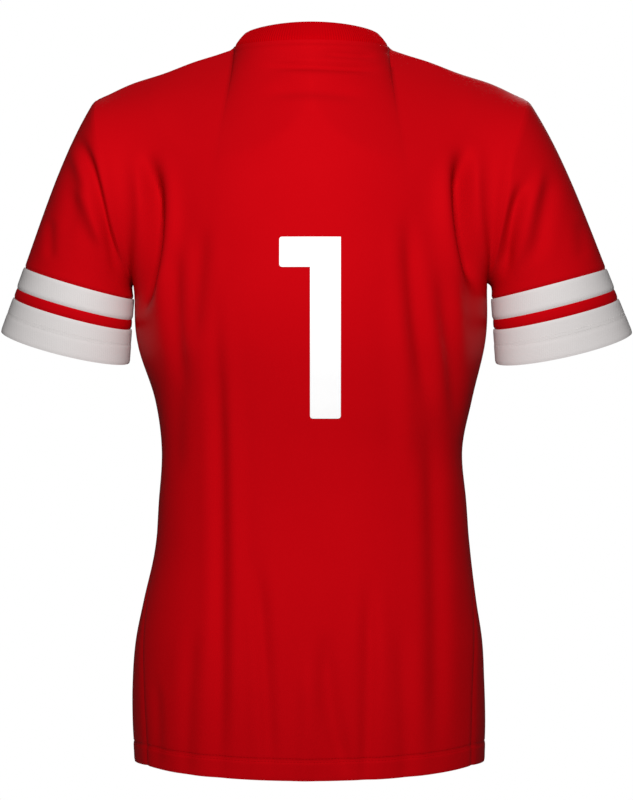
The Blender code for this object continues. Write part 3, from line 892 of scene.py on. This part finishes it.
@dataclass
class Stitching:
    """Twin rows of thread along the hem and the cuffs, laid by Geometry Nodes."""

    pitch: float = 3.1
    length: float = 2.3
    thickness: float = 0.42
    lift: float = 0.05
    hem_rows: tuple[float, float] = (18.0, 21.5)
    hem_trim: int = 2
    cuff_rows: tuple[float, float] = (14.0, 17.0)

    def build(self, sheets: dict[str, Sheet], red: bpy.types.Material, white: bpy.types.Material) -> None:
        """Lay the twin rows of the hem and of both cuffs.

        Args:
            sheets: The jersey's sheets by name.
            red: The hem's thread.
            white: The cuffs' thread.
        """
        hems = [line_on(sheets[f"{side.value}_panel"], at, self.lift)[self.hem_trim:-self.hem_trim]
                for side in Side for at in self.hem_rows]
        self.lay("hem_stitches", hems, red, "red_knit")
        for hand in Hand:
            rings = [line_on(sheets[f"cuff_{hand.word}"], at, self.lift) for at in self.cuff_rows]
            closed = [np.concatenate([ring, ring[:1]]) for ring in rings]
            self.lay(f"cuff_stitches_{hand.word}", closed, white, "white_knit")

    def tree(self, finish: bpy.types.Material) -> tuple[bpy.types.NodeTree, dict[str, str]]:
        """Build the node tree that lays one stitch after another along a path.

        Args:
            finish: The thread's material.

        Returns:
            The tree, and the identifier of each named input.
        """
        tree = bpy.data.node_groups.new("stitch_rows", "GeometryNodeTree")
        sockets = tree.interface
        sockets.new_socket("Path", in_out="INPUT", socket_type="NodeSocketGeometry")
        names = {}
        for name in ("Pitch", "Length", "Thickness"):
            made = sockets.new_socket(name, in_out="INPUT", socket_type="NodeSocketFloat")
            names[name] = made.identifier
        sockets.new_socket("Stitches", in_out="OUTPUT", socket_type="NodeSocketGeometry")
        given = add_node(tree, "NodeGroupInput").outputs
        curve = add_node(tree, "GeometryNodeMeshToCurve", links={"Mesh": given["Path"]})
        spaced = add_node(tree, "GeometryNodeResampleCurve", {"mode": "LENGTH"},
                          {"Curve": curve.outputs["Curve"], "Length": given["Pitch"]})
        ahead = add_node(tree, "GeometryNodeInputTangent")
        turn = add_node(tree, "FunctionNodeAlignRotationToVector", {"axis": "X"},
                        {"Vector": ahead.outputs["Tangent"]})
        bead = add_node(tree, "GeometryNodeMeshIcoSphere", {"Radius": 0.5, "Subdivisions": 2})
        size = add_node(tree, "ShaderNodeCombineXYZ", links={
            "X": given["Length"], "Y": given["Thickness"], "Z": given["Thickness"]})
        laid = add_node(tree, "GeometryNodeInstanceOnPoints", links={
            "Points": spaced.outputs["Curve"], "Instance": bead.outputs["Mesh"],
            "Rotation": turn.outputs["Rotation"], "Scale": size.outputs["Vector"]})
        real = add_node(tree, "GeometryNodeRealizeInstances", links={"Geometry": laid.outputs["Instances"]})
        dressed = add_node(tree, "GeometryNodeSetMaterial", {"Material": finish},
                           {"Geometry": real.outputs["Geometry"]})
        add_node(tree, "NodeGroupOutput", links={"Stitches": dressed.outputs["Geometry"]})
        return tree, names

    def lay(self, name: str, paths: Sequence[np.ndarray], finish: bpy.types.Material,
            slot: str) -> bpy.types.Object:
        """Lay stitches along paths as one plain mesh.

        Args:
            name: The piece's name.
            paths: Runs of points, in millimetres.
            finish: The thread's material.
            slot: Name of a material slot, passed on to seat.

        Returns:
            The piece.
        """
        points = np.concatenate(paths) * MM
        edges = []
        start = 0
        for path in paths:
            edges += [(start + i, start + i + 1) for i in range(len(path) - 1)]
            start += len(path)
        mesh = bpy.data.meshes.new(f"{name}_path")
        mesh.from_pydata(points.tolist(), edges, [])
        guide = bpy.data.objects.new(f"{name}_path", mesh)
        bpy.context.scene.collection.objects.link(guide)
        tree, names = self.tree(finish)
        rows = guide.modifiers.new("stitches", "NODES")
        rows.node_group = tree
        for key, value in (("Pitch", self.pitch), ("Length", self.length), ("Thickness", self.thickness)):
            rows[names[key]] = value * MM
        graph = bpy.context.evaluated_depsgraph_get()
        made = bpy.data.meshes.new_from_object(guide.evaluated_get(graph))
        made.name = name
        made.shade_smooth()
        bpy.data.objects.remove(guide)
        piece = bpy.data.objects.new(name, made)
        bpy.context.scene.collection.objects.link(piece)
        if not made.materials:
            made.materials.append(finish)
        seat(piece, slot)
        return piece


def line_on(sheet: Sheet, distance: float, lift: float) -> np.ndarray:
    """Points along a sheet at a distance from its first row, lifted off it.

    Args:
        sheet: The sheet.
        distance: How far from the first row, in millimetres.
        lift: How far off the cloth.

    Returns:
        The points.
    """
    run = np.cumsum(np.linalg.norm(np.diff(sheet.points, axis=0), axis=2), axis=0)
    run = np.concatenate([np.zeros((1, run.shape[1])), run])
    outer = sheet.points + sheet.normals * lift
    columns = range(sheet.points.shape[1])
    line = [[np.interp(distance, run[:, c], outer[:, c, axis]) for axis in range(3)] for c in columns]
    return np.array(line)


@dataclass(frozen=True)
class Relief:
    """A groove, or a ridge where its depth is negative, at a distance from an edge of the cloth."""

    depth: float
    at: float
    width: float

    def over(self, distance: np.ndarray) -> np.ndarray:
        """Depth of the groove at distances from the edge."""
        return self.depth * bump(distance, self.at, self.width)


@dataclass(frozen=True)
class Tier:
    """A band round a sleeve: its name, its heights above the cuff's edge and its rows of cells."""

    name: str
    top: float
    low: float
    rows: int


TIERS = (Tier("band", 66.0, 45.0, 14), Tier("stripe", 45.0, 35.0, 8), Tier("cuff", 35.0, 0.0, 28))


@dataclass(frozen=True)
class Cut:
    """A piece's cloth as laid flat: width and length in metres, and area in square metres."""

    width: float
    length: float
    area: float


PANEL_CUTS = {"back_panel": Cut(0.50, 0.735, 0.300), "front_panel": Cut(0.50, 0.70, 0.315)}


@dataclass
class Garment:
    """All the sheets of the jersey, folded and matched at their seams."""

    pattern: JerseyPattern
    wall: float = 1.0
    sleeve_rows: int = 64
    seam: Relief = Relief(1.1, 0.0, 2.6)
    band_seam: Relief = Relief(1.1, 0.0, 1.6)
    band_edge: Relief = Relief(0.5, 0.0, 1.2)
    band_lift: float = 0.8
    stripe_lift: float = 0.2
    neck_ridge: Relief = Relief(-1.1, 2.4, 2.2)
    neck_groove: Relief = Relief(0.5, 6.5, 2.4)
    hem_line: Relief = Relief(0.6, 19.0, 1.8)
    hem_edge: Relief = Relief(0.5, 0.0, 1.5)
    hem_fold: float = 0.45
    cuff_hem_share: float = 0.3
    slack: float = 0.45
    soft_passes: int = 420
    soft_low: float = -300.0
    soft_high: float = -170.0
    neck_passes: int = 1100
    neck_drop: float = 30.0
    neck_near: float = 25.0
    neck_far: float = 80.0
    shoulder_fall: float = 0.12
    flank_width: float = 5.0
    flank_z: float = -275.0
    flank_reach: float = 52.0
    sheets: dict[str, Sheet] = field(default_factory=dict)

    def build(self) -> None:
        """Work out every sheet, then sink the seams and raise the hems."""
        for side, folds in ((Side.BACK, BACK_FOLDS), (Side.FRONT, FRONT_FOLDS)):
            sheet, across = self.pattern.torso(side)
            self.soften(sheet)
            self.fold_torso(sheet, across, folds, side)
            if side is Side.FRONT:
                sheet.points = sheet.points[:, ::-1]
            self.sheets[sheet.name] = sheet
        for hand in Hand:
            sleeve = self.pattern.sleeve(hand, self.sleeve_rows)
            self.fold_sleeve(sleeve, hand)
            self.sheets[sleeve.name] = sleeve
            for tier in TIERS:
                heights = np.linspace(tier.top, tier.low, tier.rows + 1)
                band = self.pattern.band(hand, tier.name, heights)
                self.sheets[band.name] = band
        share_normals(list(self.sheets.values()))
        for sheet in self.sheets.values():
            self.relieve(sheet)

    def soften(self, sheet: Sheet) -> None:
        """Ease a torso panel's form between its neckline, its shoulders and the chest.

        Args:
            sheet: The panel's sheet.
        """
        points = sheet.points
        fall = points[-1:, :, 2] - self.shoulder_fall * np.abs(points[..., 1] - points[-1:, :, 1])
        points[..., 2] = np.minimum(points[..., 2], fall)
        loose = ease(points[..., 2], self.soft_low, self.soft_high)[1:-1, 1:-1, None]
        down = np.linalg.norm(np.diff(points, axis=0), axis=2)[:, 1:-1, None] + 0.01
        side = np.linalg.norm(np.diff(points, axis=1), axis=2)[1:-1, :, None] + 0.01
        corner_x = np.abs(points[..., 0]) - self.pattern.neck_half_width
        reach = np.hypot(corner_x, points[..., 2] + self.neck_drop)[1:-1, 1:-1, None]
        near_neck = 1.0 - ease(reach, self.neck_near, self.neck_far)
        form = points[..., 1:]
        for step in range(self.soft_passes + self.neck_passes):
            if step == self.soft_passes:
                loose = loose * near_neck
            along = (form[:-2, 1:-1] * down[1:] + form[2:, 1:-1] * down[:-1]) / (down[1:] + down[:-1])
            over = (form[1:-1, :-2] * side[:, 1:] + form[1:-1, 2:] * side[:, :-1]) / (
                side[:, 1:] + side[:, :-1])
            form[1:-1, 1:-1] += loose * ((along + over) / 2.0 - form[1:-1, 1:-1])

    def fold_torso(self, sheet: Sheet, across: np.ndarray, folds: Sequence[Fold], side: Side) -> None:
        """Press the folds into a torso panel, flat at its seams, with a soft unevenness between them.

        Args:
            sheet: The panel's sheet.
            across: Places across it.
            folds: Its folds.
            side: Front or back.
        """
        x = sheet.points[..., 0]
        z = sheet.points[..., 2]
        rows = np.arange(len(sheet.points))[:, None]
        top = len(sheet.points) - 1
        flank = self.flank_width * np.sign(across)[None, :] * np.abs(across)[None, :] ** 4
        x += flank * bump(z, self.flank_z, self.flank_reach)
        hold = (1.0 - np.abs(across)[None, :] ** 6) * (1.0 - ease(rows, top - 5.0, top))
        drape = np.sin(x / 17.0 + 0.9 * np.sin(z / 83.0)) * np.sin(z / 131.0 + 0.6)
        flutes = np.sin(x / 9.3 + z / 210.0 + 1.3) * ease(-z, 420.0, 700.0)
        depth = (fold_depth(folds, x, z) + self.slack * (drape + 0.6 * flutes)) * hold
        if side is Side.FRONT:
            depth = -depth
        sheet.moved(depth)

    def fold_sleeve(self, sheet: Sheet, hand: Hand) -> None:
        """Press the folds into a sleeve, free of both its seams.

        Args:
            sheet: The sleeve's sheet.
            hand: Which sleeve.
        """
        turns = np.radians(self.pattern.turns(hand))
        rows = np.arange(len(sheet.points))[:, None] / (len(sheet.points) - 1)
        ends = ease(rows, 0.0, 0.12) * (1.0 - ease(rows, 0.85, 1.0))
        behind = ease(np.sin(turns), 0.0, 0.6)[None, :]
        ahead = ease(-np.sin(turns), 0.0, 0.6)[None, :]
        depth = fold_depth(SLEEVE_FOLDS[hand], sheet.points[..., 0], sheet.points[..., 2])
        sheet.moved(depth * ends * (behind + 0.8 * ahead))

    def relieve(self, sheet: Sheet) -> None:
        """Sink a sheet's seams, raise its bands and roll its hem.

        Args:
            sheet: The sheet.
        """
        down = np.linalg.norm(np.diff(sheet.points, axis=0), axis=2)
        from_first = np.concatenate([np.zeros((1, down.shape[1])), np.cumsum(down, axis=0)])
        from_last = from_first[-1] - from_first
        if sheet.name.endswith("_panel"):
            depth = self.panel_depth(sheet, from_last) + self.hem_depth(from_first, 1.0)
        elif sheet.name.startswith("sleeve"):
            depth = self.seam.over(from_first) + self.band_seam.over(from_last)
        elif sheet.name.startswith("stripe"):
            depth = self.band_seam.over(from_last) + self.band_edge.over(from_first) - self.stripe_lift
        elif sheet.name.startswith("band"):
            depth = self.band_seam.over(from_last) + self.band_edge.over(from_first) - self.band_lift
        else:
            depth = self.band_edge.over(from_first) - self.band_lift
            depth = depth + self.hem_depth(from_last, self.cuff_hem_share)
        sheet.points = sheet.points - sheet.normals * depth[..., None]

    def panel_depth(self, sheet: Sheet, from_top: np.ndarray) -> np.ndarray:
        """Depth of a torso panel's side, armhole, shoulder and neck seams.

        Args:
            sheet: The panel's sheet.
            from_top: Distance of each point from the panel's top edge.

        Returns:
            The depth at each point.
        """
        steps = np.linalg.norm(np.diff(sheet.points, axis=1), axis=2)
        from_left = np.concatenate([np.zeros((len(steps), 1)), np.cumsum(steps, axis=1)], axis=1)
        from_side = np.minimum(from_left, from_left[:, -1:] - from_left)
        neck = np.zeros(from_left.shape[1])
        first = self.pattern.shoulder_cells
        neck[first:first + self.pattern.neck_cells + 1] = 1.0
        depth = self.seam.over(from_side) + self.seam.over(from_top) * (1.0 - neck)
        return depth + (self.neck_ridge.over(from_top) + self.neck_groove.over(from_top)) * neck

    def hem_depth(self, from_edge: np.ndarray, share: float) -> np.ndarray:
        """Depth of a turned hem: a slight rise where it is double, its stitched line and its edge.

        Args:
            from_edge: Distance of each point from the hem's edge.
            share: How much of the rise and the line shows.

        Returns:
            The depth at each point.
        """
        double = 1.0 - ease(from_edge, self.hem_line.at - 2.5, self.hem_line.at + 1.0)
        rise = self.hem_line.over(from_edge) - self.hem_fold * double
        return share * rise + self.hem_edge.over(from_edge)

    def sew(self, name: str, finish: bpy.types.Material, slot: str) -> None:
        """Make one sheet into its finished piece.

        Args:
            name: The sheet's name.
            finish: Its material.
            slot: Its material slot.
        """
        sheet = self.sheets[name]
        outer = sheet.points.reshape(-1, 3)
        inner = outer - sheet.normals.reshape(-1, 3) * self.wall
        rows, columns = sheet.points.shape[:2]
        piece = shell(f"{name}_cloth", outer, inner, grid_quads(rows, columns, sheet.closed), finish)
        seat(piece, slot, name)

    def dress(self, red: bpy.types.Material, white: bpy.types.Material) -> None:
        """Sew every piece in its own cloth.

        Args:
            red: The panels', sleeves' and stripes' cloth.
            white: The bands' and cuffs' cloth.
        """
        for name, cut in PANEL_CUTS.items():
            self.sew(name, red, "red_knit")
        for hand in Hand:
            self.sew(f"sleeve_{hand.word}", red, "red_knit")
            for tier in TIERS:
                finish, slot = (red, "red_knit") if tier.name == "stripe" else (white, "white_knit")
                self.sew(f"{tier.name}_{hand.word}", finish, slot)


@dataclass
class Collar:
    """The crew collar: a folded band of 1x1 rib that stands off the neckline and leans in."""

    pattern: JerseyPattern
    ribs: int = 176
    cells_per_rib: int = 6
    rows: int = 22
    rib_height: float = 0.2
    wall: float = 1.7
    tuck: float = 0.10
    foot_depth: float = 1.5
    edge_roll: float = 0.5
    crown_height: float = 0.7
    cut: Cut = Cut(0.45, 0.026, 0.0117)

    def build(self, finish: bpy.types.Material) -> None:
        """Make the collar.

        Args:
            finish: Its material.
        """
        cells = self.ribs * self.cells_per_rib
        turns = np.arange(cells) * 360.0 / cells
        levels = np.linspace(-self.tuck, 1.0, self.rows + 1)
        sheet = Sheet("collar", np.array([self.pattern.neck_point(turns, level) for level in levels]), True)
        level = levels[:, None]
        ring = np.arange(cells)[None, :] * 2.0 * np.pi / self.cells_per_rib
        ribbing = self.rib_height * np.cos(ring) * (1.0 - ease(level, 0.86, 1.0))
        sunk = self.foot_depth * (1.0 - ease(level, -0.02, 0.22))
        rolled = self.edge_roll * ease(level, 0.9, 1.0)
        crown = self.crown_height * bump(level, 0.55, 0.4)
        sheet.moved(sunk + rolled - ribbing - crown)
        sheet.normals = sheet.own_normals()
        outer = sheet.points.reshape(-1, 3)
        inner = outer - sheet.normals.reshape(-1, 3) * self.wall
        piece = shell("collar_rib", outer, inner, grid_quads(self.rows + 1, cells, True), finish)
        seat(piece, "red_rib", "collar")


TOUCH = 0.01               # places nearer than this are the same
SEARCH_STEPS = 10          # rounds in which a place on a sheet is closed in on


@dataclass
class Numeral:
    """The plain applied "1": a flag and a stem with small round corners, in the X-Z plane."""

    top: float = -192.0
    base: float = -363.5
    flag_base: float = -220.5
    flag_left: float = -30.2
    stem_left: float = -1.2
    stem_right: float = 27.8
    radius: float = 2.6
    cell: float = 1.3
    lift: float = 0.45
    film: float = 0.25

    def build(self, back: Sheet, finish: bpy.types.Material) -> None:
        """Lay the numeral's film on the back panel.

        Args:
            back: The back panel's sheet.
            finish: The film's material.
        """
        columns = np.concatenate([self.steps(self.flag_left, self.stem_left)[:-1],
                                  self.steps(self.stem_left, self.stem_right)])
        levels = np.concatenate([self.steps(self.base, self.flag_base)[:-1],
                                 self.steps(self.flag_base, self.top)])
        quads = []
        used: dict[tuple[int, int], int] = {}
        for row in range(len(levels) - 1):
            for column in range(len(columns) - 1):
                below_flag = levels[row] < self.flag_base - TOUCH
                if below_flag and columns[column] < self.stem_left - TOUCH:
                    continue
                corners = ((row, column), (row, column + 1), (row + 1, column + 1), (row + 1, column))
                quads.append([used.setdefault(corner, len(used)) for corner in corners])
        places = np.array([(columns[column], levels[row]) for row, column in used])
        for x, z, inward_x, inward_z in ((self.flag_left, self.top, 1, -1),
                                         (self.flag_left, self.flag_base, 1, 1),
                                         (self.stem_left, self.base, 1, 1),
                                         (self.stem_right, self.base, -1, 1)):
            self.round_corner(places, x, z, inward_x, inward_z)
        points, normals = lie_on(back, places)
        outer = points + normals * (self.lift + self.film)
        piece = shell("number_one_film", outer, points + normals * self.lift, np.array(quads), finish)
        seat(piece, "white_film", "number_one")

    def steps(self, low: float, high: float) -> np.ndarray:
        """Even places between two ends, about a cell apart."""
        return np.linspace(low, high, max(2, round((high - low) / self.cell) + 1))

    def round_corner(self, places: np.ndarray, x: float, z: float, inward_x: int, inward_z: int) -> None:
        """Draw the places near a corner in, onto its arc.

        Args:
            places: X and Z of each point, changed in place.
            x: The corner's X.
            z: The corner's Z.
            inward_x: 1 where the film lies towards +X of the corner, or -1.
            inward_z: The same for Z.
        """
        middle = np.array([x + inward_x * self.radius, z + inward_z * self.radius])
        away = places - middle
        outside = (away[:, 0] * inward_x < 0) & (away[:, 1] * inward_z < 0)
        reach = np.linalg.norm(away, axis=1)
        far = outside & (reach > self.radius) & (np.abs(away).max(axis=1) < self.radius + TOUCH)
        places[far] = middle + away[far] / reach[far, None] * self.radius


def lie_on(sheet: Sheet, places: np.ndarray) -> tuple[np.ndarray, np.ndarray]:
    """Points and outward directions of a sheet at places of the X-Z plane.

    Args:
        sheet: The sheet.
        places: X and Z of each place.

    Returns:
        The points and the directions.
    """
    flat = sheet.points[..., [0, 2]]
    reach = ((flat.reshape(-1, 1, 2) - places[None]) ** 2).sum(axis=2)
    row, column = np.unravel_index(reach.argmin(axis=0), flat.shape[:2])
    at = np.stack([row, column], axis=1).astype(float)
    limit = np.array(flat.shape[:2]) - 1.001

    def blended(grid: np.ndarray, low: np.ndarray, part: np.ndarray) -> np.ndarray:
        """Values inside quads of a grid.

        Args:
            grid: The values at the corners.
            low: Row and column of each quad.
            part: Shares of the way across each quad, down and right.

        Returns:
            The values.
        """
        i, j = low.T
        u, v = part[:, :1], part[:, 1:]
        near = grid[i, j] * (1 - v) + grid[i, j + 1] * v
        return near * (1 - u) + (grid[i + 1, j] * (1 - v) + grid[i + 1, j + 1] * v) * u

    for _ in range(SEARCH_STEPS):
        low = np.clip(at, 0.0, limit).astype(int)
        i, j = low.T
        miss = places - blended(flat, low, at - low)
        down = flat[i + 1, j] - flat[i, j]
        right = flat[i, j + 1] - flat[i, j]
        scale = down[:, 0] * right[:, 1] - down[:, 1] * right[:, 0]
        step_down = (miss[:, 0] * right[:, 1] - miss[:, 1] * right[:, 0]) / scale
        step_right = (down[:, 0] * miss[:, 1] - down[:, 1] * miss[:, 0]) / scale
        at = np.clip(at + np.stack([step_down, step_right], axis=1), 0.0, limit)
    low = at.astype(int)
    return blended(sheet.points, low, at - low), unit(blended(sheet.normals, low, at - low))


@dataclass(frozen=True)
class Softbox:
    """A square soft light: where it stands and aims, its side in metres and its power in watts."""

    name: str
    place: tuple[float, float, float]
    aim: tuple[float, float, float]
    size: float
    power: float


SOFTBOXES = (
    Softbox("key", (0.0, -1.60, 0.42), (0.0, 0.0, 0.04), 0.7, 31.0),
    Softbox("fill", (0.0, -3.4, -0.1), (0.0, 0.0, -0.3), 1.2, 4.0),
    Softbox("rear", (0.4, 2.6, 1.2), (0.0, 0.0, -0.3), 1.4, 24.0),
)


@dataclass
class Studio:
    """A pale floor, a white surround, soft boxes and the camera, all in metres."""

    camera_distance: float = 3.0
    camera_x: float = 0.0049
    camera_z: float = -0.346
    frame_height: float = 0.784
    sensor: float = 36.0
    floor_z: float = -1.5
    floor_size: float = 3.0
    faint_light: float = 0.06

    def build(self) -> None:
        """Set up the whole studio."""
        self.surround()
        self.floor()
        for box in SOFTBOXES:
            self.softbox(box)
        self.camera()

    def surround(self) -> None:
        """White to the eye, and a faint even light on the jersey."""
        world = bpy.data.worlds.new("studio_white")
        world.use_nodes = True
        tree = world.node_tree
        tree.nodes.clear()
        plain = (1.0, 1.0, 1.0, 1.0)
        faint = add_node(tree, "ShaderNodeBackground", {"Color": plain, "Strength": self.faint_light})
        white = add_node(tree, "ShaderNodeBackground", {"Color": plain, "Strength": 1.0})
        seen = add_node(tree, "ShaderNodeLightPath")
        mixed = add_node(tree, "ShaderNodeMixShader", links={
            0: seen.outputs["Is Camera Ray"], 1: faint.outputs[0], 2: white.outputs[0]})
        add_node(tree, "ShaderNodeOutputWorld", links={"Surface": mixed.outputs[0]})
        bpy.context.scene.world = world
        bpy.context.scene.view_settings.view_transform = "Standard"

    def floor(self) -> None:
        """A plain pale floor well below the worn jersey."""
        bpy.ops.mesh.primitive_plane_add(size=self.floor_size, location=(0.0, 0.0, self.floor_z))
        ground = bpy.context.object
        ground.name = "studio_floor"
        paint = bpy.data.materials.new("pale_floor")
        paint.use_nodes = True
        shader = paint.node_tree.nodes["Principled BSDF"]
        shader.inputs["Base Color"].default_value = linear("f2f2f2")
        shader.inputs["Roughness"].default_value = 0.8
        ground.data.materials.append(paint)

    def softbox(self, box: Softbox) -> None:
        """Set up one soft light.

        Args:
            box: The light.
        """
        light = bpy.data.lights.new(f"softbox_{box.name}", "AREA")
        light.size = box.size
        light.energy = box.power
        lamp = bpy.data.objects.new(f"softbox_{box.name}", light)
        lamp.location = box.place
        lamp.rotation_euler = (Vector(box.aim) - Vector(box.place)).to_track_quat("-Z", "Y").to_euler()
        bpy.context.scene.collection.objects.link(lamp)

    def camera(self) -> None:
        """The camera, level behind the jersey's middle."""
        eye = bpy.data.cameras.new("camera")
        eye.sensor_fit = "AUTO"
        eye.sensor_width = self.sensor
        eye.lens = self.sensor * self.camera_distance / self.frame_height
        view = bpy.data.objects.new("camera", eye)
        view.location = (self.camera_x, -self.camera_distance, self.camera_z)
        view.rotation_euler = (np.pi / 2, 0.0, 0.0)
        bpy.context.scene.collection.objects.link(view)
        bpy.context.scene.camera = view


def main() -> None:
    """Build the jersey piece by piece, then the studio round it."""
    logging.basicConfig(level=logging.INFO, format="%(name)s: %(message)s")
    pattern = JerseyPattern()
    red_knit = RED_KNIT.build()
    white_knit = WHITE_KNIT.build()
    red_thread = RED_THREAD.build()
    white_thread = WHITE_THREAD.build()
    garment = Garment(pattern)
    garment.build()
    garment.dress(red_knit, white_knit)
    Collar(pattern).build(RED_RIB.build())
    Numeral().build(garment.sheets["back_panel"], WHITE_FILM.build())
    Stitching().build(garment.sheets, red_thread, white_thread)
    Studio().build()


if __name__ == "__main__":
    main()
